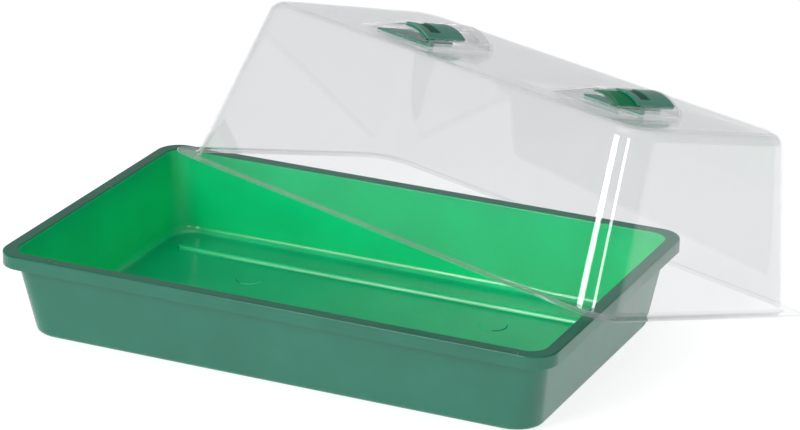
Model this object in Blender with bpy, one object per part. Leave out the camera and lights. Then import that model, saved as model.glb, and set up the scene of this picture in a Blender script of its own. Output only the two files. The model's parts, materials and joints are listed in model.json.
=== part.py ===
"""Humidity dome tray: a green seed tray, a clear dome lid and two sliding roof vents.

Each vent is a clear hood on the roof. A green slider on its arched front carries a flat
shutter inside the hood, which covers or clears a hatch in the roof.

The tray stands on the ground plane with its long side along X. The dome is off the tray:
it leans on the tray's back rim and right rim, with its far right corner on the ground.
Every length is in metres.
"""
import bpy
import bmesh
from math import acos, asin, atan2, cos, hypot, pi, radians, sin, tan
from mathutils import Matrix, Vector

# Tray
RIM_LENGTH = 0.380
RIM_WIDTH = 0.235
TRAY_HEIGHT = 0.0580
RIM_CORNER = 0.0165
RIM_FLAT = 0.0078
RIM_THICKNESS = 0.0018
SKIRT_DEPTH = 0.0088
SKIRT_THICKNESS = 0.0015
TRAY_WALL = 0.0020
TRAY_FLOOR = 0.0022
WALL_BACKSET = 0.0064
TRAY_DRAFT = 0.0088
TRAY_FOOT_ROUND = 0.0030
TRAY_FLOOR_ROUND = 0.0050
RIM_EDGE_ROUND = 0.0010
WALL_CORNER = 0.0135
FOOT_CORNER = 0.0175
FLOOR_RIB_FROM_END = 0.0320
FLOOR_RIB_WIDTH = 0.0085
FLOOR_RIB_HEIGHT = 0.0028
FLOOR_RIB_SHOULDER = 0.0011
FLOOR_RIB_BACKSET = 0.0320
FOOT_PAD_RADIUS = 0.0095
FOOT_PAD_HEIGHT = 0.0006
FOOT_PAD_SLOPE = 0.0004
FOOT_PAD_FROM_END = 0.1020
FOOT_PAD_FROM_SIDE = 0.0775
GUSSET_THICKNESS = 0.0014
GUSSET_FROM_CORNER = 0.0260
GUSSET_SHORT_OF_SKIRT = 0.0012

# Dome: its flange sits on the tray's rim when it is closed
FLANGE_INSET_X = 0.0
FLANGE_INSET_Y = 0.0020
FLANGE_CORNER = 0.0190
FLANGE_BAND = 0.0080
FLANGE_THICKNESS = 0.0018
FLANGE_EDGE_ROUND = 0.0006
DOME_HEIGHT = 0.1134
DOME_DRAFT = 0.0200
DOME_SIDE_DRAFT = 0.0207
DOME_WALL = 0.0015
DOME_MOUTH_CHAMFER = 0.0008
DOME_FOOT_CORNER = 0.0240
DOME_ROOF_CORNER = 0.0220
DOME_FOOT_ROUND = 0.0020
DOME_ROOF_ROUND = 0.0075

# Vents: x values run from the foot of the vent's sloping back
VENT_STARTS = (-0.0975, 0.0625)
VENT_WIDTH = 0.0640
VENT_MIDDLE_Y = -0.0250
VENT_CREST = 0.0122
VENT_CREST_AT = 0.0405
VENT_RADIUS = 0.0280
VENT_WALL = 0.0014
VENT_RECESS = 0.0034
RECESS_START = radians(-9.0)
RECESS_END = radians(37.5)
FRONT_DROP = 0.0011
FRONT_STEP = 0.00325
PLINTH_START = 0.0150
PLINTH_TOP_LENGTH = 0.0088
PLINTH_SPREAD = 0.0025
PLINTH_TAPER = 0.0012
MOUTH_HEIGHT = 0.0040
PLATE_WIDTH = 0.0280
PLATE_THICKNESS = 0.0010
SLIDER_THICKNESS = 0.0014
SLIDER_TRAVEL = 0.0220
GRIP_WIDTH = 0.0110
GRIP_FROM_END = 0.0065
GRIP_DEPTH = 0.0008
GRIP_END = radians(27.0)
TAB_WIDTH = 0.0137
TAB_FROM_END = 0.0010
TAB_THICKNESS = 0.0009
TAB_SHORT_OF_FRONT = 0.0006
WINDOW_WIDTH = 0.0180
WINDOW_START = radians(4.0)
WINDOW_END = radians(26.0)
SHUTTER_START = 0.0135
SHUTTER_END = 0.0475
SHUTTER_THICKNESS = 0.0012
LEG_WIDTH = 0.0045
HATCH_MARGIN = 0.0018

# Fits
CLEARANCE = 0.0003
SLOT_CLEARANCE = 0.0005
OVERLAP = 0.0006

# How the dome leans: its far right corner lies on the ground beside the tray
GROUND_CORNER_BESIDE = (0.0768, 0.0359)
LEAN_TURN = radians(-17.97)
LEAN_GAP = 0.0005
FIRST_BACK_REST = 0.70
FIRST_RIGHT_REST = -0.33
LEAN_ROUNDS = 8

CORNER_STEPS = 10
ARC_STEPS = 6
ARCH_STEPS = 16

FLANGE_LENGTH = RIM_LENGTH - 2 * FLANGE_INSET_X
FLANGE_WIDTH = RIM_WIDTH - 2 * FLANGE_INSET_Y
SLIDER_WIDTH = VENT_WIDTH - 2 * VENT_WALL - 2 * CLEARANCE - SLIDER_TRAVEL
PLINTH_HEIGHT = VENT_CREST - VENT_RADIUS * (1 - cos(RECESS_END)) - FRONT_DROP
PLINTH_END = VENT_CREST_AT + VENT_RADIUS * sin(RECESS_END) + FRONT_STEP
PLINTH_TOP_START = PLINTH_END - PLINTH_TOP_LENGTH


def clear_scene():
    for item in list(bpy.data.objects):
        bpy.data.objects.remove(item, do_unlink=True)


def material(name, color, roughness, transmission=0.0, ior=1.49):
    made = bpy.data.materials.new(name)
    made.use_nodes = True
    shader = made.node_tree.nodes["Principled BSDF"]
    shader.inputs["Base Color"].default_value = (*color, 1.0)
    shader.inputs["Roughness"].default_value = roughness
    shader.inputs["Metallic"].default_value = 0.0
    shader.inputs["Transmission Weight"].default_value = transmission
    shader.inputs["IOR"].default_value = ior
    made.diffuse_color = (*color, 1.0)
    return made


def object_from(bm, name):
    bmesh.ops.recalc_face_normals(bm, faces=bm.faces)
    mesh = bpy.data.meshes.new(name)
    bm.to_mesh(mesh)
    bm.free()
    made = bpy.data.objects.new(name, mesh)
    bpy.context.scene.collection.objects.link(made)
    return made


def rounded_loop(half_x, half_y, radius, z):
    """Points round a rectangle with round corners, seen from above, anticlockwise."""
    points = []
    for quarter, (sx, sy) in enumerate(((1, 1), (-1, 1), (-1, -1), (1, -1))):
        for step in range(CORNER_STEPS + 1):
            angle = pi / 2 * (quarter + step / CORNER_STEPS)
            x = sx * (half_x - radius) + radius * cos(angle)
            y = sy * (half_y - radius) + radius * sin(angle)
            points.append((x, y, z))
    return points


def loft(name, loops):
    """One closed solid through the loops, capped at its first and last loop."""
    bm = bmesh.new()
    rings = [[bm.verts.new(point) for point in loop] for loop in loops]
    for lower, upper in zip(rings, rings[1:]):
        for i in range(len(lower)):
            j = (i + 1) % len(lower)
            bm.faces.new((lower[i], lower[j], upper[j], upper[i]))
    bm.faces.new(rings[0][::-1])
    bm.faces.new(rings[-1])
    return object_from(bm, name)


def prism(name, profile, y_low, y_high):
    """The (x, z) profile, drawn out along Y."""
    near = [(x, y_low, z) for x, z in profile]
    far = [(x, y_high, z) for x, z in profile]
    return loft(name, [near, far])


def box(name, low, high):
    profile = [(low[0], low[2]), (high[0], low[2]), (high[0], high[2]), (low[0], high[2])]
    return prism(name, profile, low[1], high[1])


def arc(radius, start, end, steps=ARC_STEPS):
    """Offsets (across, down) along an arc that turns from start to end."""
    angles = [start + (end - start) * step / steps for step in range(steps + 1)]
    return [(radius * cos(angle), radius * sin(angle)) for angle in angles]


def combine(target, tool, operation):
    """Join the tool to the target, or cut it out, and remove the tool."""
    change = target.modifiers.new("change", "BOOLEAN")
    change.operation = operation
    change.solver = "EXACT"
    change.object = tool
    depsgraph = bpy.context.evaluated_depsgraph_get()
    mesh = bpy.data.meshes.new_from_object(target.evaluated_get(depsgraph))
    target.modifiers.clear()
    old = target.data
    target.data = mesh
    bpy.data.meshes.remove(old)
    bpy.data.objects.remove(tool, do_unlink=True)


def finish(target, slot):
    """Clean the mesh, and give it its material."""
    bm = bmesh.new()
    bm.from_mesh(target.data)
    bmesh.ops.remove_doubles(bm, verts=bm.verts, dist=0.000002)
    bmesh.ops.dissolve_degenerate(bm, dist=0.000001, edges=bm.edges)
    bmesh.ops.triangulate(bm, faces=bm.faces)
    bmesh.ops.recalc_face_normals(bm, faces=bm.faces)
    bm.to_mesh(target.data)
    bm.free()
    target.data.materials.clear()
    target.data.materials.append(slot)


def tray_half(z):
    """Half the length and width across the tray's outer wall at height z."""
    backset = WALL_BACKSET + TRAY_DRAFT * (1 - z / TRAY_HEIGHT)
    return RIM_LENGTH / 2 - backset, RIM_WIDTH / 2 - backset


def tray_loop(z, inward, radius):
    half_x, half_y = tray_half(z)
    return rounded_loop(half_x - inward, half_y - inward, radius, z)


def rim_loop(inset, corner, z):
    """Points round the tray's rim outline, moved inward."""
    return rounded_loop(RIM_LENGTH / 2 - inset, RIM_WIDTH / 2 - inset, corner, z)


def tray_shell():
    """Up the outside, over the skirt and rim, and down the inside to the floor."""
    loops = []
    for across, down in arc(TRAY_FOOT_ROUND, pi / 2, 0):
        z = TRAY_FOOT_ROUND - down
        loops.append(tray_loop(z, TRAY_FOOT_ROUND - across, FOOT_CORNER))
    under = TRAY_HEIGHT - RIM_THICKNESS
    skirt_low = TRAY_HEIGHT - SKIRT_DEPTH
    loops.append(tray_loop(under, 0, WALL_CORNER))
    loops.append(rim_loop(SKIRT_THICKNESS, RIM_CORNER - SKIRT_THICKNESS, under))
    loops.append(rim_loop(SKIRT_THICKNESS, RIM_CORNER - SKIRT_THICKNESS, skirt_low))
    loops.append(rim_loop(0, RIM_CORNER, skirt_low))
    for across, up in arc(RIM_EDGE_ROUND, 0, pi / 2, 3):
        inset = RIM_EDGE_ROUND - across
        loops.append(rim_loop(inset, RIM_CORNER - inset, TRAY_HEIGHT - RIM_EDGE_ROUND + up))
    wall_in = WALL_BACKSET + TRAY_WALL
    lead_in = wall_in - RIM_FLAT
    inner_corner = WALL_CORNER - TRAY_WALL
    loops.append(rim_loop(RIM_FLAT, inner_corner, TRAY_HEIGHT))
    loops.append(rim_loop(RIM_FLAT + lead_in / 2, inner_corner, TRAY_HEIGHT - lead_in / 5))
    loops.append(rim_loop(wall_in + OVERLAP / 2, inner_corner, TRAY_HEIGHT - lead_in))
    for across, down in arc(TRAY_FLOOR_ROUND, 0, pi / 2):
        z = TRAY_FLOOR + TRAY_FLOOR_ROUND - down
        inward = TRAY_WALL + TRAY_FLOOR_ROUND - across
        loops.append(tray_loop(z, inward, FOOT_CORNER))
    return loft("tray", loops)


def stadium(length, width, z):
    """A bar's outline with round ends."""
    return rounded_loop(length / 2, width / 2, width / 2 - 0.0001, z)


def add_floor_ribs(tray):
    """Two raised ribs with round ends and sloping shoulders, along the long sides."""
    length = RIM_LENGTH - 2 * FLOOR_RIB_FROM_END
    top = TRAY_FLOOR + FLOOR_RIB_HEIGHT
    slope = FLOOR_RIB_SHOULDER
    for side in (-1, 1):
        y = side * (tray_half(0)[1] - FLOOR_RIB_BACKSET)
        loops = [stadium(length, FLOOR_RIB_WIDTH, TRAY_FLOOR - OVERLAP),
                 stadium(length - slope, FLOOR_RIB_WIDTH - slope, top - slope),
                 stadium(length - 3 * slope, FLOOR_RIB_WIDTH - 3 * slope, top)]
        loops = [[(px, py + y, pz) for px, py, pz in loop] for loop in loops]
        combine(tray, loft("rib", loops), "UNION")


def add_foot_pads(tray):
    """Four low round pads moulded on the floor."""
    depth = FOOT_PAD_HEIGHT + OVERLAP
    along = RIM_LENGTH / 2 - FOOT_PAD_FROM_END
    across = RIM_WIDTH / 2 - FOOT_PAD_FROM_SIDE
    for end in (-1, 1):
        for side in (-1, 1):
            bm = bmesh.new()
            bmesh.ops.create_cone(bm, cap_ends=True, segments=4 * CORNER_STEPS, depth=depth,
                                  radius1=FOOT_PAD_RADIUS, radius2=FOOT_PAD_RADIUS - FOOT_PAD_SLOPE)
            middle = (end * along, side * across, TRAY_FLOOR - OVERLAP + depth / 2)
            bmesh.ops.translate(bm, verts=bm.verts, vec=middle)
            combine(tray, object_from(bm, "pad"), "UNION")


def add_gussets(tray):
    """Small webs that tie the skirt to the wall beside each corner."""
    low = TRAY_HEIGHT - SKIRT_DEPTH + GUSSET_SHORT_OF_SKIRT
    high = TRAY_HEIGHT - RIM_THICKNESS + OVERLAP
    half_x, half_y = tray_half(low)
    thin = GUSSET_THICKNESS / 2
    along_x = RIM_LENGTH / 2 - GUSSET_FROM_CORNER
    along_y = RIM_WIDTH / 2 - GUSSET_FROM_CORNER
    into_skirt = SKIRT_THICKNESS - OVERLAP
    for side in (-1, 1):
        for end in (-1, 1):
            near, far = sorted((side * (half_y - OVERLAP), side * (RIM_WIDTH / 2 - into_skirt)))
            web = box("web", (end * along_x - thin, near, low), (end * along_x + thin, far, high))
            combine(tray, web, "UNION")
            near, far = sorted((side * (half_x - OVERLAP), side * (RIM_LENGTH / 2 - into_skirt)))
            web = box("web", (near, end * along_y - thin, low), (far, end * along_y + thin, high))
            combine(tray, web, "UNION")


def dome_half(z):
    """Half the length and width across the dome's outer wall at height z above the flange."""
    share = z / DOME_HEIGHT
    half_x = FLANGE_LENGTH / 2 - FLANGE_BAND - DOME_DRAFT * share
    half_y = FLANGE_WIDTH / 2 - FLANGE_BAND - DOME_SIDE_DRAFT * share
    return half_x, half_y


def dome_corner(z):
    return DOME_FOOT_CORNER + (DOME_ROOF_CORNER - DOME_FOOT_CORNER) * z / DOME_HEIGHT


def dome_loop(z, inward):
    half_x, half_y = dome_half(z)
    return rounded_loop(half_x - inward, half_y - inward, dome_corner(z) - inward, z)


def straight_wall(inward, z_from, z_to, rings=3):
    """Rings that part the dome's sloping wall into even bands."""
    steps = [z_from + (z_to - z_from) * ring / rings for ring in range(1, rings + 1)]
    return [dome_loop(z, inward) for z in steps]


def dome_shell():
    """Down the outside from the roof, round the flange, and up the inside."""
    loops = []
    shoulder = DOME_HEIGHT - DOME_ROOF_ROUND
    for across, up in arc(DOME_ROOF_ROUND, pi / 2, 0):
        loops.append(dome_loop(shoulder + up, DOME_ROOF_ROUND - across))
    foot = FLANGE_THICKNESS + DOME_FOOT_ROUND
    loops += straight_wall(0, shoulder, foot)
    half_x, half_y = dome_half(FLANGE_THICKNESS)
    corner = dome_corner(0)
    for across, up in arc(DOME_FOOT_ROUND, pi, pi * 1.5, 3)[1:]:
        out = DOME_FOOT_ROUND + across
        loops.append(rounded_loop(half_x + out, half_y + out, corner + out, foot + up))
    edge = FLANGE_EDGE_ROUND
    flange_x, flange_y = FLANGE_LENGTH / 2, FLANGE_WIDTH / 2
    for inset, z in ((edge, FLANGE_THICKNESS), (0, FLANGE_THICKNESS - edge), (0, edge), (edge, 0)):
        loops.append(rounded_loop(flange_x - inset, flange_y - inset, FLANGE_CORNER - inset, z))
    loops.append(dome_loop(0, DOME_WALL - DOME_MOUTH_CHAMFER))
    loops.append(dome_loop(DOME_MOUTH_CHAMFER, DOME_WALL))
    loops += straight_wall(DOME_WALL, DOME_MOUTH_CHAMFER, shoulder)
    inner_round = DOME_ROOF_ROUND - DOME_WALL
    for across, up in arc(inner_round, 0, pi / 2)[1:]:
        loops.append(dome_loop(shoulder + up, DOME_WALL + inner_round - across))
    return loft("dome", loops)


def vent_centre(x_start):
    """The axis of the vent's arched front, as (x, z)."""
    return x_start + VENT_CREST_AT, DOME_HEIGHT + VENT_CREST - VENT_RADIUS


def on_arch(x_start, radius, angle):
    """A point at this angle past the crest, on an arch round the vent's axis."""
    cx, cz = vent_centre(x_start)
    return cx + radius * sin(angle), cz + radius * cos(angle)


def arch_points(x_start, radius, start, end, steps):
    angles = [start + (end - start) * step / steps for step in range(steps + 1)]
    return [on_arch(x_start, radius, angle) for angle in angles]


def ramp_angle():
    """Where a ramp that rises from the roof at the vent's start touches the arch."""
    rise = VENT_CREST - VENT_RADIUS
    reach = hypot(VENT_CREST_AT, rise)
    return -(atan2(rise, VENT_CREST_AT) + asin(VENT_RADIUS / reach))


def vent_profile(x_start, inward, sink):
    """The ramp, the arch and the straight front, inward from the outer faces."""
    radius = VENT_RADIUS - inward
    touch = ramp_angle()
    cx, cz = vent_centre(x_start)
    end = acos((DOME_HEIGHT + PLINTH_HEIGHT - inward - cz) / radius)
    points = arch_points(x_start, radius, touch, end, ARCH_STEPS)
    first_x, first_z = points[0]
    base = DOME_HEIGHT - sink
    foot_x = first_x - (first_z - base) / tan(-touch)
    last_x = points[-1][0]
    return [(foot_x, base)] + points + [(last_x, base)]


def vent_sides(inward=0.0):
    half = VENT_WIDTH / 2 - inward
    return VENT_MIDDLE_Y - half, VENT_MIDDLE_Y + half


def plinth(x_start, inward, sink):
    """The step under the vent's front, which rises slowly from the roof."""
    low_y, high_y = vent_sides(inward - PLINTH_SPREAD)
    top = DOME_HEIGHT + PLINTH_HEIGHT - inward
    base = DOME_HEIGHT - sink
    rise_at = x_start + PLINTH_TOP_START
    start, end = x_start + PLINTH_START + 2 * inward, x_start + PLINTH_END - inward
    foot = [(start, low_y, base), (end + PLINTH_TAPER, low_y, base),
            (end + PLINTH_TAPER, high_y, base), (start, high_y, base)]
    low_y, high_y = low_y + PLINTH_TAPER, high_y - PLINTH_TAPER
    head = [(rise_at, low_y, top), (end, low_y, top), (end, high_y, top), (rise_at, high_y, top)]
    return loft("plinth", [foot, head])


def band(x_start, inner, outer, start, end, y_low, y_high):
    """A curved plate round the vent's axis."""
    inside = arch_points(x_start, inner, start, end, ARCH_STEPS)
    outside = arch_points(x_start, outer, start, end, ARCH_STEPS)
    return prism("band", inside + outside[::-1], y_low, y_high)


def track_ends():
    """The near and far ends of the space that the slider moves in."""
    low_y, high_y = vent_sides(VENT_WALL)
    return low_y + CLEARANCE, high_y - CLEARANCE


def add_vent(dome, x_start):
    """A hood with a recess and a window in its arched front, over a hatch in the roof."""
    low_y, high_y = vent_sides()
    in_low, in_high = vent_sides(VENT_WALL)
    combine(dome, plinth(x_start, 0, OVERLAP), "UNION")
    combine(dome, prism("vault", vent_profile(x_start, 0, OVERLAP), low_y, high_y), "UNION")
    recess = VENT_RADIUS - VENT_RECESS
    above = VENT_RADIUS + MOUTH_HEIGHT
    cut = band(x_start, recess, above, RECESS_START, RECESS_END, in_low, in_high)
    combine(dome, cut, "DIFFERENCE")
    combine(dome, track_mouth(x_start, recess, in_low, in_high), "DIFFERENCE")
    combine(dome, plinth(x_start, VENT_WALL, 0), "DIFFERENCE")
    hollow = vent_profile(x_start, VENT_RECESS + VENT_WALL, 0)
    combine(dome, prism("hollow", hollow, in_low, in_high), "DIFFERENCE")
    combine(dome, ramp_hollow(x_start, in_low, in_high), "DIFFERENCE")
    window_high = track_ends()[1] - HATCH_MARGIN
    window = band(x_start, recess - 2 * VENT_WALL, recess + VENT_WALL, WINDOW_START, WINDOW_END,
                  window_high - WINDOW_WIDTH, window_high)
    combine(dome, window, "DIFFERENCE")
    combine(dome, roof_hatch(x_start), "DIFFERENCE")
    combine(dome, leg_slot(x_start), "DIFFERENCE")


def track_mouth(x_start, recess, low_y, high_y):
    """Opens the recess's lower end over the plinth, so that the slider's tab can pass."""
    step = DOME_HEIGHT + PLINTH_HEIGHT
    start = on_arch(x_start, recess, RECESS_END)[0]
    front = x_start + PLINTH_END + MOUTH_HEIGHT
    return box("mouth", (start, low_y, step), (front, high_y, step + MOUTH_HEIGHT))


def ramp_hollow(x_start, low_y, high_y):
    """The hollow under the vent's sloping back, up to the wall behind the recess."""
    radius = VENT_RADIUS - VENT_WALL
    touch = ramp_angle()
    first_x, first_z = on_arch(x_start, radius, touch)
    foot_x = first_x - (first_z - DOME_HEIGHT) / tan(-touch)
    last = RECESS_START - VENT_WALL / VENT_RADIUS
    points = arch_points(x_start, radius, touch, last, ARC_STEPS)
    inner_x, inner_z = on_arch(x_start, radius - VENT_RECESS - OVERLAP, last)
    profile = [(foot_x, DOME_HEIGHT)] + points + [(inner_x, inner_z), (inner_x, DOME_HEIGHT)]
    return prism("ramp", profile, low_y, high_y)


def roof_hatch(x_start):
    """The opening in the roof that the shutter covers at the far end of its track."""
    low_y, high_y = track_ends()
    low = (x_start + SHUTTER_START + HATCH_MARGIN, low_y + SLIDER_WIDTH + HATCH_MARGIN,
           DOME_HEIGHT - 2 * DOME_WALL)
    high = (x_start + SHUTTER_END - HATCH_MARGIN, high_y - HATCH_MARGIN, DOME_HEIGHT + OVERLAP)
    return box("hatch", low, high)


def leg_span(x_start):
    """Where the shutter's leg comes up behind the plinth's front wall."""
    front = x_start + PLINTH_END - VENT_WALL - SLOT_CLEARANCE
    return front - SHUTTER_THICKNESS, front


def leg_slot(x_start):
    """The slot in the plinth's top that the shutter's leg runs along."""
    back, front = leg_span(x_start)
    low_y = track_ends()[0] + TAB_FROM_END - SLOT_CLEARANCE
    high_y = low_y + LEG_WIDTH + SLIDER_TRAVEL + 2 * SLOT_CLEARANCE
    top = DOME_HEIGHT + PLINTH_HEIGHT
    return box("slot", (back - CLEARANCE, low_y, top - 2 * VENT_WALL),
               (front + CLEARANCE, high_y, top + OVERLAP))


def vent_plate(x_start):
    """The fixed green plate under the near half of the slider's track."""
    low_y = track_ends()[0]
    inner = VENT_RADIUS - VENT_RECESS + CLEARANCE
    turn = CLEARANCE / VENT_RADIUS
    return band(x_start, inner, inner + PLATE_THICKNESS, RECESS_START + turn, RECESS_END - turn,
                low_y, low_y + PLATE_WIDTH)


def vent_slider(x_start, shift):
    """A curved slide with a finger recess and a stop tab, shifted along its track."""
    low_y = track_ends()[0] + shift
    inner = VENT_RADIUS - VENT_RECESS + PLATE_THICKNESS + 2 * CLEARANCE
    outer = inner + SLIDER_THICKNESS
    turn = CLEARANCE / VENT_RADIUS
    end = RECESS_END - turn
    slider = band(x_start, inner, outer, RECESS_START + turn, end, low_y, low_y + SLIDER_WIDTH)
    grip_low = low_y + GRIP_FROM_END
    grip = band(x_start, outer - GRIP_DEPTH, outer + GRIP_DEPTH, 2 * RECESS_START, GRIP_END,
                grip_low, grip_low + GRIP_WIDTH)
    combine(slider, grip, "DIFFERENCE")
    back = on_arch(x_start, inner + SLIDER_THICKNESS / 2, end - 2 * turn)[0]
    front = x_start + PLINTH_END - TAB_SHORT_OF_FRONT
    low = DOME_HEIGHT + PLINTH_HEIGHT + CLEARANCE
    tab_low = low_y + TAB_FROM_END
    tab = box("tab", (back, tab_low, low), (front, tab_low + TAB_WIDTH, low + TAB_THICKNESS))
    combine(slider, tab, "UNION")
    return slider


def vent_shutter(x_start, shift):
    """A flat shutter on the roof inside the hood, with a leg up to the slider's tab."""
    low_y = track_ends()[0] + shift
    low = DOME_HEIGHT + CLEARANCE
    high = low + SHUTTER_THICKNESS
    shutter = box("shutter", (x_start + SHUTTER_START, low_y, low),
                  (x_start + SHUTTER_END, low_y + SLIDER_WIDTH, high))
    leg_back, leg_front = leg_span(x_start)
    tab_low = low_y + TAB_FROM_END
    arm = box("arm", (x_start + SHUTTER_END - OVERLAP, tab_low, low),
                  (leg_front, tab_low + LEG_WIDTH, high))
    combine(shutter, arm, "UNION")
    leg = box("leg", (leg_back, tab_low, low),
              (leg_front, tab_low + LEG_WIDTH, DOME_HEIGHT + PLINTH_HEIGHT))
    combine(shutter, leg, "UNION")
    return shutter


def lean_turn(back, right, ground):
    """The dome's axes, as columns, when its flange plane passes through the three points."""
    up = (right - back).cross(ground - back).normalized()
    if up.z < 0:
        up = -up
    along = Vector((cos(LEAN_TURN), sin(LEAN_TURN), 0.0))
    along.z = -(along.x * up.x + along.y * up.y) / up.z
    along.normalize()
    return Matrix((along, up.cross(along), up)).transposed()


def crossing(outline, axis, level, lowest_side):
    """Where an outline crosses a line of constant x or y, on the asked side."""
    other = 1 - axis
    found = []
    for start, end in zip(outline, outline[1:] + outline[:1]):
        if (start[axis] - level) * (end[axis] - level) < 0:
            share = (level - start[axis]) / (end[axis] - start[axis])
            found.append(start[other] + (end[other] - start[other]) * share)
    return min(found) if lowest_side else max(found)


def leaning_pose():
    """Turn and place for the dome: on two rims, with its far right corner on the ground."""
    rim = TRAY_HEIGHT + LEAN_GAP
    rim_x, rim_y = RIM_LENGTH / 2, RIM_WIDTH / 2
    back_rest, right_rest = -FIRST_BACK_REST * rim_x, FIRST_RIGHT_REST * rim_y
    ground = Vector((rim_x + GROUND_CORNER_BESIDE[0], rim_y + GROUND_CORNER_BESIDE[1], 0.0))
    corner = Vector((FLANGE_LENGTH / 2, FLANGE_WIDTH / 2, 0.0))
    for _ in range(LEAN_ROUNDS):
        back, right = Vector((back_rest, rim_y, rim)), Vector((rim_x, right_rest, rim))
        turn = lean_turn(back, right, ground)
        slope = hypot(turn[2][0], turn[2][1])
        square = abs(turn[2][0]) + abs(turn[2][1])
        ground.z = LEAN_GAP - FLANGE_CORNER * (square - slope)
        pose = Matrix.Translation(ground - turn @ corner) @ turn.to_4x4()
        mouth = [pose @ Vector(point) for point in dome_loop(0, DOME_WALL - DOME_MOUTH_CHAMFER)]
        back_rest = crossing(mouth, 1, rim_y, True)
        right_rest = crossing(mouth, 0, rim_x, True)
    return pose


def place_vent(side, x_start, shift, pose, greens):
    """One vent's fixed plate, slider and shutter, on the dome."""
    plate_green, slider_green = greens
    made = {"plate": (vent_plate(x_start), plate_green),
            "slider": (vent_slider(x_start, shift), slider_green),
            "shutter": (vent_shutter(x_start, shift), slider_green)}
    for piece, (item, slot) in made.items():
        item.name = f"{side}_vent_{piece}"
        finish(item, slot)
        item.matrix_world = pose


def main():
    clear_scene()
    green = material("tray_green", (0.010, 0.235, 0.105), 0.22, 0.25)
    clear = material("dome_clear", (0.86, 0.88, 0.88), 0.06, 0.9)
    greens = (material("vent_plate_green", (0.002, 0.180, 0.075), 0.35),
              material("slider_green", (0.055, 0.215, 0.125), 0.28))

    tray = tray_shell()
    add_floor_ribs(tray)
    add_foot_pads(tray)
    add_gussets(tray)
    finish(tray, green)

    dome = dome_shell()
    for x_start in VENT_STARTS:
        add_vent(dome, x_start)
    finish(dome, clear)

    pose = leaning_pose()
    dome.matrix_world = pose
    for side, x_start, shift in zip(("left", "right"), VENT_STARTS, (0.0, SLIDER_TRAVEL)):
        place_vent(side, x_start, shift, pose, greens)


main()
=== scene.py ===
"""Looks of the humidity dome tray: a translucent green tray, a clear lid and two green vents.

Every CAD node is shown by a finer copy of itself, with softened edges and its own plastic.
Lengths are in metres, in the frame's own coordinates.
"""
import json
from math import radians

import bmesh
import bpy
from mathutils import Matrix, Vector

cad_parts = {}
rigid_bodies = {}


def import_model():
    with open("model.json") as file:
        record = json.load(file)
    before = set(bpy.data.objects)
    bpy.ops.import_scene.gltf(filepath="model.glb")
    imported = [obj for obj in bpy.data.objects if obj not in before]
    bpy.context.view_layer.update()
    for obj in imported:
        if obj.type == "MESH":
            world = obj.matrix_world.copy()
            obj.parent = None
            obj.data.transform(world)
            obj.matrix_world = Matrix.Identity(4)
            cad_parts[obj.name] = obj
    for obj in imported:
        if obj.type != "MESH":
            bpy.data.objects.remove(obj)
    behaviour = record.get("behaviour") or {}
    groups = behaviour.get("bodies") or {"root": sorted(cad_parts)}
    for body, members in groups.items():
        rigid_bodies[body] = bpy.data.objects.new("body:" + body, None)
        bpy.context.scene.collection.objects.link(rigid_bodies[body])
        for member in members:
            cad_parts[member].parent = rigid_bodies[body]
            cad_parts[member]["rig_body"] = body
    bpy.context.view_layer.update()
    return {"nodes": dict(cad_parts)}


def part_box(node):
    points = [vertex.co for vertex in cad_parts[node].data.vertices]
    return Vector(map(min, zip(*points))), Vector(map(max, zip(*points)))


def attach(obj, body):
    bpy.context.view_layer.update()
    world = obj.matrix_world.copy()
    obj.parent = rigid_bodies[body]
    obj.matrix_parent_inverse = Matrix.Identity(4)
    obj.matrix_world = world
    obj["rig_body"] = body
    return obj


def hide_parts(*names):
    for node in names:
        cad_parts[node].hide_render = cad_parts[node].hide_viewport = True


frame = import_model()

# Camera, worked out from the tray's and the lid's outlines
CAMERA_AT = Vector((0.8973, -1.8966, 0.8792))
CAMERA_HEADING = radians(24.353)
CAMERA_DOWN = radians(20.912)
CAMERA_ROLL = radians(1.011)
CAMERA_LENS = 158.5
SENSOR_WIDTH = 36.0

# Finer copies of the CAD nodes, and how wide their sharp edges are rounded
WELD_DISTANCE = 0.000002
FLAT_WITHIN = radians(0.4)
SHARP_FROM = radians(34)
BEVEL_SEGMENTS = 2
TRAY_EDGE = 0.0003
DOME_EDGE = 0.0004
PLATE_EDGE = 0.00015
SLIDER_EDGE = 0.0002
SHUTTER_EDGE = 0.00015

# Which faces take which plastic: depth of the rim, reach of the skirt, and how level a face is
RIM_BAND = 0.003
SKIRT_REACH = 0.0055
RIM_TILT = 0.2
SLOPE_TILT = 0.5
FLOOR_TILT = 0.9
GRIP_WIDTH = 0.011
GRIP_NEAR = 0.0005
INSIDE, RIM, FLOOR, GRIP = 1, 2, 3, 1

# Noise patterns: waves per metre, and the middle stretch of the noise that a ramp uses
FLOW_SCALE = 22.0
GLOSS_SCALE = 60.0
PEEL_SCALE = 900.0
PEEL_STRENGTH = 0.5
CLEAR_HAZE_SCALE = 35.0
CLEAR_WAVE_SCALE = 30.0
CLEAR_WAVE_HEIGHT = 0.00008
CLEAR_WAVE_STRENGTH = 0.4
FINE_GRAIN = 0.6
NOISE_LOW = 0.3
NOISE_HIGH = 0.7

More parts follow.
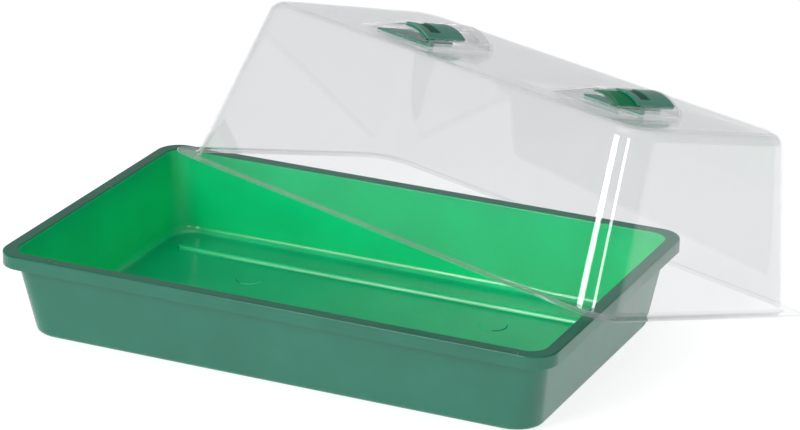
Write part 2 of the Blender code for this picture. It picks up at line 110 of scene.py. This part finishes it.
# Plastics: the darkest and lightest tint of each, and how deep light spreads in the tray
# Outer faces: a darker teal of painted shade, for the dimmer light on the outside of the tray.
OUTSIDE_PAINTED_SHADE_TEAL = ((0.0008, 0.150, 0.092), (0.0012, 0.175, 0.108))
# Inner walls: a brighter green of painted light, for the light that comes through the wall.
INSIDE_PAINTED_LIGHT_GREEN = ((0.0010, 0.475, 0.185), (0.0014, 0.535, 0.215))
# Floor: a darker green of painted shade, where the floor lies on the ground.
FLOOR_PAINTED_SHADE_GREEN = ((0.0006, 0.340, 0.128), (0.0010, 0.385, 0.148))
# Rim top: a darker green of painted shade, where little light comes through the thick plastic.
RIM_PAINTED_SHADE_GREEN = ((0.0008, 0.115, 0.062), (0.0012, 0.138, 0.074))
# Finger recess: a darker green of painted shade in the recess.
GRIP_PAINTED_SHADE_GREEN = ((0.003, 0.070, 0.036), (0.004, 0.086, 0.044))
PLATE_GREEN = ((0.001, 0.170, 0.065), (0.002, 0.210, 0.085))
SLIDER_GREEN = ((0.020, 0.200, 0.130), (0.026, 0.240, 0.155))
CLEAR_TINT = (0.86, 0.865, 0.87, 1.0)
CLEAR_IOR = 1.005
CLEAR_SKIN_IOR = 1.55
GLOW_SPREAD = (0.3, 1.0, 0.7)
OUTSIDE_GLOW = 0.0015
INSIDE_GLOW = 0.006

# Studio
FLOOR_SIZE = 14.0
FLOOR_DROP = 0.0004
FLOOR_GREY = (0.35, 0.35, 0.35, 1.0)
FLOOR_ROUGHNESS = 0.9
NEAR_GLOW, FAR_GLOW = 0.80, 0.46
GLOW_FALLS_FROM, GLOW_FALLS_TO = 1.3, 2.0
SKY_COLOUR = (0.95, 0.97, 1.0, 1.0)
SKY_STRENGTH = 0.42
CLIP_NEAR, CLIP_FAR = 0.05, 30.0


def socket(node, name, value):
    """Set one of a node's inputs."""
    node.inputs[name].default_value = value


def new_material(name):
    """A material with its node tree and its Principled BSDF."""
    made = bpy.data.materials.new(name)
    made.use_nodes = True
    return made, made.node_tree, made.node_tree.nodes["Principled BSDF"]


def noise(tree, scale, detail, roughness=0.5):
    """A noise pattern fixed to the object's own coordinates, in metres."""
    place = tree.nodes.new("ShaderNodeTexCoord")
    made = tree.nodes.new("ShaderNodeTexNoise")
    socket(made, "Scale", scale)
    socket(made, "Detail", detail)
    socket(made, "Roughness", roughness)
    tree.links.new(place.outputs["Object"], made.inputs["Vector"])
    return made.outputs["Fac"]


def between(tree, factor, low, high, low_at=NOISE_LOW, high_at=NOISE_HIGH):
    """A number that goes from low to high as the factor goes from low_at to high_at."""
    made = tree.nodes.new("ShaderNodeMapRange")
    socket(made, "From Min", low_at)
    socket(made, "From Max", high_at)
    socket(made, "To Min", low)
    socket(made, "To Max", high)
    tree.links.new(factor, made.inputs["Value"])
    return made.outputs["Result"]


def colour_between(tree, factor, tints):
    """A colour that goes from the first tint to the second as the factor rises."""
    made = tree.nodes.new("ShaderNodeValToRGB")
    for element, place, tint in zip(made.color_ramp.elements, (NOISE_LOW, NOISE_HIGH), tints):
        element.position = place
        element.color = (*tint, 1.0)
    tree.links.new(factor, made.inputs["Fac"])
    return made.outputs["Color"]


def bump(tree, shader, height, distance, strength):
    """Relief of the given depth in metres."""
    made = tree.nodes.new("ShaderNodeBump")
    socket(made, "Distance", distance)
    socket(made, "Strength", strength)
    tree.links.new(height, made.inputs["Height"])
    tree.links.new(made.outputs["Normal"], shader.inputs["Normal"])


def moulded_plastic(name, tints, smooth, rough, ripple, ior=1.50):
    """Injection-moulded plastic: slight flow mottling, uneven gloss and fine orange peel."""
    made, tree, shader = new_material(name)
    flow = noise(tree, FLOW_SCALE, 2.0)
    tree.links.new(colour_between(tree, flow, tints), shader.inputs["Base Color"])
    gloss = noise(tree, GLOSS_SCALE, 4.0, FINE_GRAIN)
    tree.links.new(between(tree, gloss, smooth, rough), shader.inputs["Roughness"])
    bump(tree, shader, noise(tree, PEEL_SCALE, 2.0), ripple, PEEL_STRENGTH)
    socket(shader, "IOR", ior)
    made.diffuse_color = (*tints[1], 1.0)
    return made


def let_light_spread(surface, depth):
    """Let light spread under a surface, furthest in green."""
    shader = surface.node_tree.nodes["Principled BSDF"]
    socket(shader, "Subsurface Weight", 1.0)
    socket(shader, "Subsurface Radius", GLOW_SPREAD)
    socket(shader, "Subsurface Scale", depth)
    return surface


def tray_outside_painted_shade():
    """The tray's outer faces: glossy, in a darker, greyer teal that is painted shade."""
    made = moulded_plastic("tray_green_outside_painted_shade", OUTSIDE_PAINTED_SHADE_TEAL, 0.18, 0.26, 0.000008, 1.62)
    return let_light_spread(made, OUTSIDE_GLOW)


def tray_inside_painted_light():
    """The tray's inner walls: a thin wall that lets the light from outside spread through, in a
    brighter tint of painted light.
    """
    made = moulded_plastic("tray_green_inside_painted_light", INSIDE_PAINTED_LIGHT_GREEN, 0.16, 0.26, 0.00002)
    return let_light_spread(made, INSIDE_GLOW)


def tray_floor_painted_shade():
    """The tray's floor, darker than the walls by painted shade, for the less light it gets where
    it lies on the ground.
    """
    return moulded_plastic("tray_green_floor_painted_shade", FLOOR_PAINTED_SHADE_GREEN, 0.16, 0.26, 0.00001)


def tray_rim_painted_shade():
    """The rim's top, in a darker tint of painted shade, for the thick plastic where little light
    comes through it.
    """
    return moulded_plastic("tray_green_rim_painted_shade", RIM_PAINTED_SHADE_GREEN, 0.18, 0.28, 0.00002, 1.45)


def grip_painted_shade_green():
    """The finger recess: spark-eroded, so duller than the slider round it, and darker by painted
    shade in the recess.
    """
    return moulded_plastic("grip_painted_shade_plastic", GRIP_PAINTED_SHADE_GREEN, 0.45, 0.60, 0.00005, 1.40)


def vent_plate_green():
    """The fixed plates: dull and saturated, because the hood shades them."""
    return moulded_plastic("vent_plate_green_plastic", PLATE_GREEN, 0.42, 0.55, 0.00002, 1.22)


def slider_green():
    """The sliders and shutters: a glossier green."""
    return moulded_plastic("slider_green_plastic", SLIDER_GREEN, 0.24, 0.36, 0.00002, 1.75)


def dome_clear():
    """Clear polystyrene: a thin wall that barely bends light, under a glossy skin that mirrors."""
    made, tree, shader = new_material("dome_clear_plastic")
    socket(shader, "Base Color", CLEAR_TINT)
    socket(shader, "Transmission Weight", 1.0)
    socket(shader, "IOR", CLEAR_IOR)
    socket(shader, "Coat Weight", 1.0)
    socket(shader, "Coat IOR", CLEAR_SKIN_IOR)
    socket(shader, "Coat Roughness", 0.02)
    haze = noise(tree, CLEAR_HAZE_SCALE, 4.0, FINE_GRAIN)
    tree.links.new(between(tree, haze, 0.0, 0.03), shader.inputs["Roughness"])
    wave = noise(tree, CLEAR_WAVE_SCALE, 1.0)
    bump(tree, shader, wave, CLEAR_WAVE_HEIGHT, CLEAR_WAVE_STRENGTH)
    made.diffuse_color = (0.9, 0.93, 0.93, 0.3)
    return made


def in_scene(name, data):
    """A new object in the scene."""
    made = bpy.data.objects.new(name, data)
    bpy.context.scene.collection.objects.link(made)
    return made


def welded_mesh(source, name):
    """A CAD node's mesh with its points welded and its flat triangles joined into whole faces."""
    bm = bmesh.new()
    bm.from_mesh(source.data)
    bmesh.ops.remove_doubles(bm, verts=bm.verts, dist=WELD_DISTANCE)
    bmesh.ops.dissolve_limit(bm, angle_limit=FLAT_WITHIN, verts=bm.verts, edges=bm.edges)
    bmesh.ops.recalc_face_normals(bm, faces=bm.faces)
    mesh = bpy.data.meshes.new(name)
    bm.to_mesh(mesh)
    bm.free()
    mesh.shade_smooth()
    return mesh


def finer_copy(node, name, surface, edge):
    """A welded copy of a CAD node whose sharp edges are rounded by the given width."""
    source = frame["nodes"][node]
    made = in_scene(name, welded_mesh(source, name))
    rounding = made.modifiers.new("edges", "BEVEL")
    rounding.width = edge
    rounding.segments = BEVEL_SEGMENTS
    rounding.limit_method = "ANGLE"
    rounding.angle_limit = SHARP_FROM
    rounding.use_clamp_overlap = True
    rounding.miter_outer = "MITER_ARC"
    flatten = made.modifiers.new("normals", "WEIGHTED_NORMAL")
    flatten.keep_sharp = True
    made.data.materials.append(surface)
    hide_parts(node)
    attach(made, source["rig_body"])
    return made


def within_wall(point, low, high):
    """True where the point lies inside the tray's wall rather than in its skirt."""
    reach = min(point.x - low.x, high.x - point.x, point.y - low.y, high.y - point.y)
    return reach > SKIRT_REACH


def line_tray(tray):
    """Give the tray's inner walls a brighter tint of painted light, and its rim and its floor
    darker tints of painted shade.
    """
    low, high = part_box("tray")
    middle = (low + high) / 2
    for surface in (tray_inside_painted_light(), tray_rim_painted_shade(), tray_floor_painted_shade()):
        tray.data.materials.append(surface)
    for face in tray.data.polygons:
        at_rim = face.center.z > high.z - RIM_BAND
        below_rim = face.center.z < high.z - RIM_BAND
        inward = (middle.xy - face.center.xy).dot(face.normal.xy) > 0
        if at_rim and face.normal.z > RIM_TILT:
            face.material_index = RIM
        elif face.normal.z > FLOOR_TILT:
            face.material_index = FLOOR
        elif inward and within_wall(face.center, low, high):
            face.material_index = INSIDE
        elif below_rim and face.normal.z > SLOPE_TILT:
            face.material_index = INSIDE


def paint_grip_shade(slider, surface):
    """Give the faces that are as wide along the track as the finger recess the darker plastic of
    painted shade.
    """
    mesh = slider.data
    mesh.materials.append(surface)
    corners = [vertex.co for vertex in mesh.vertices]
    edges = [corners[edge.vertices[1]] - corners[edge.vertices[0]] for edge in mesh.edges]
    track = max(edges, key=lambda edge: edge.length).normalized()
    for face in mesh.polygons:
        along = [corners[index].dot(track) for index in face.vertices]
        if abs(max(along) - min(along) - GRIP_WIDTH) < GRIP_NEAR:
            face.material_index = GRIP


def add_floor():
    """A white sweep, lit from beneath, that falls off to pale grey beyond the set."""
    bpy.ops.mesh.primitive_plane_add(size=FLOOR_SIZE, location=(0, 0, -FLOOR_DROP))
    floor = bpy.context.object
    floor.name = "studio_floor"
    made, tree, shader = new_material("studio_floor_white")
    socket(shader, "Base Color", FLOOR_GREY)
    socket(shader, "Roughness", FLOOR_ROUGHNESS)
    socket(shader, "Emission Color", (1.0, 1.0, 1.0, 1.0))
    place = tree.nodes.new("ShaderNodeTexCoord")
    reach = tree.nodes.new("ShaderNodeVectorMath")
    reach.operation = "LENGTH"
    tree.links.new(place.outputs["Object"], reach.inputs[0])
    distance = reach.outputs["Value"]
    glow = between(tree, distance, NEAR_GLOW, FAR_GLOW, GLOW_FALLS_FROM, GLOW_FALLS_TO)
    tree.links.new(glow, shader.inputs["Emission Strength"])
    floor.data.materials.append(made)


def add_softbox(name, place, aim, width, height, power):
    """A rectangular light that points at its aim."""
    light = bpy.data.lights.new(name, "AREA")
    light.shape = "RECTANGLE"
    light.size = width
    light.size_y = height
    light.energy = power
    made = in_scene(name, light)
    made.location = place
    made.rotation_euler = (Vector(aim) - Vector(place)).to_track_quat("-Z", "Y").to_euler()


def add_lights():
    """A dim even sky, two softboxes that streak the dome's near corner, and one overhead."""
    world = bpy.data.worlds.new("studio")
    world.use_nodes = True
    background = world.node_tree.nodes["Background"]
    socket(background, "Color", SKY_COLOUR)
    socket(background, "Strength", SKY_STRENGTH)
    bpy.context.scene.world = world
    add_softbox("key", (-0.87, -2.49, 1.43), (0.1, 0, 0.1), 0.9, 1.4, 45.0)
    add_softbox("fill", (1.25, -2.35, 1.60), (0.1, 0, 0.1), 0.4, 1.2, 12.0)
    add_softbox("top", (0.0, 0.1, 2.4), (0.0, 0, 0.0), 1.2, 1.2, 4.0)


def add_camera():
    """The camera, turned to its heading, tipped down and rolled a little."""
    lens = bpy.data.cameras.new("camera")
    lens.lens = CAMERA_LENS
    lens.sensor_width = SENSOR_WIDTH
    lens.clip_start = CLIP_NEAR
    lens.clip_end = CLIP_FAR
    made = in_scene("camera", lens)
    turn = Matrix.Rotation(CAMERA_HEADING, 4, "Z")
    tilt = Matrix.Rotation(radians(90) - CAMERA_DOWN, 4, "X")
    roll = Matrix.Rotation(CAMERA_ROLL, 4, "Z")
    made.matrix_world = Matrix.Translation(CAMERA_AT) @ turn @ tilt @ roll
    bpy.context.scene.camera = made
    bpy.context.scene.view_settings.view_transform = "Standard"


def add_pieces():
    """One finer copy of each CAD node, in its own plastic."""
    plate_plastic, slider_plastic, grip_shade_plastic = vent_plate_green(), slider_green(), grip_painted_shade_green()
    line_tray(finer_copy("tray", "tray_moulding", tray_outside_painted_shade(), TRAY_EDGE))
    dome = finer_copy("dome", "dome_moulding", dome_clear(), DOME_EDGE)
    dome.visible_shadow = False
    for side in ("left", "right"):
        vent = side + "_vent_"
        finer_copy(vent + "plate", side + "_plate_moulding",
                   plate_plastic, PLATE_EDGE)
        slider = finer_copy(vent + "slider", side + "_slider_moulding",
                            slider_plastic, SLIDER_EDGE)
        paint_grip_shade(slider, grip_shade_plastic)
        finer_copy(vent + "shutter", side + "_shutter_moulding",
                   slider_plastic, SHUTTER_EDGE)


add_camera()
add_lights()
add_floor()
add_pieces()
